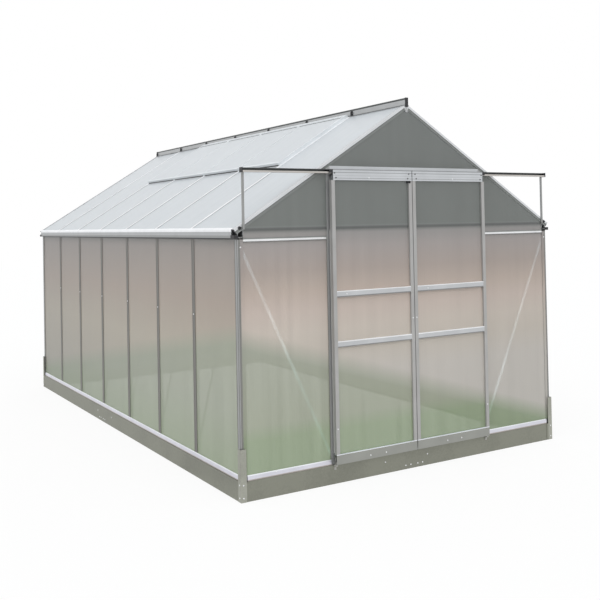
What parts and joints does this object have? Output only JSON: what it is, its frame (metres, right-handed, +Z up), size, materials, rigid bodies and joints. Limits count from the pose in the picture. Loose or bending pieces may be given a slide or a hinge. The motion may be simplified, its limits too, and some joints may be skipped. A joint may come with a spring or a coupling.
{
  "type": "greenhouse",
  "caption": "Walk-in gabled greenhouse: aluminium bars, twin-wall glazing, steel base ring, roof vents, and a pair of sliding doors hung on a track that runs out past the corners.",
  "frame": {"origin": "middle of the outer size, on the ground", "axes": "+X to the right across the door front, +Y from the door front to the back, +Z up"},
  "size_m": [2.535, 4.366, 2.384],
  "materials": {
    "twin_wall_sheet": "translucent, finely fluted",
    "mill_aluminium": "satin, extruded",
    "bright_aluminium": "bright, extruded",
    "galvanised_steel": "dull galvanised",
    "black_plastic": "moulded",
    "nylon": "moulded"
  },
  "bodies": {
    "house": {"back_eave_rails": "mill_aluminium", "back_gable_sheets": "twin_wall_sheet", "back_rafters": "mill_aluminium", "back_wall_posts": "mill_aluminium", "back_wall_sheets": "twin_wall_sheet", "base_back": "galvanised_steel", "base_corner_angles": "galvanised_steel", "base_front": "galvanised_steel", "base_left": "galvanised_steel", "base_right": "galvanised_steel", "corner_posts": "mill_aluminium", "door_guides": "nylon", "door_header": "mill_aluminium", "door_posts": "mill_aluminium", "door_threshold": "mill_aluminium", "door_track": "mill_aluminium", "end_caps": "black_plastic", "front_eave_rails": "mill_aluminium", "front_gable_sheets": "twin_wall_sheet", "front_rafters": "mill_aluminium", "front_side_sheets": "twin_wall_sheet", "left_gutter": "mill_aluminium", "left_roof_bars": "mill_aluminium", "left_roof_sheets": "twin_wall_sheet", "left_wall_posts": "mill_aluminium", "left_wall_sheets": "twin_wall_sheet", "ridge": "mill_aluminium", "ridge_caps": "black_plastic", "right_gutter": "mill_aluminium", "right_roof_bars": "mill_aluminium", "right_roof_sheets": "twin_wall_sheet", "right_wall_posts": "mill_aluminium", "right_wall_sheets": "twin_wall_sheet", "roof_vent_frames": "mill_aluminium", "roof_vent_sheets": "twin_wall_sheet", "track_posts": "mill_aluminium", "vent_rails": "mill_aluminium", "wall_braces": "bright_aluminium", "wall_sills": "bright_aluminium"},
    "left_door": {"left_door_rails": "mill_aluminium", "left_door_rollers": "nylon", "left_door_sheets": "twin_wall_sheet", "left_door_stiles": "mill_aluminium", "left_door_top_rail": "mill_aluminium"},
    "right_door": {"right_door_rails": "mill_aluminium", "right_door_rollers": "nylon", "right_door_sheets": "twin_wall_sheet", "right_door_stiles": "mill_aluminium", "right_door_top_rail": "mill_aluminium"}
  },
  "joints": [
    {"name": "left_door_slide", "type": "slide", "parent": "house", "child": "left_door", "axis": [-1, 0, 0], "range_m": [0, 0.59]},
    {"name": "right_door_slide", "type": "slide", "parent": "house", "child": "right_door", "axis": [1, 0, 0], "range_m": [0, 0.59]}
  ]
}
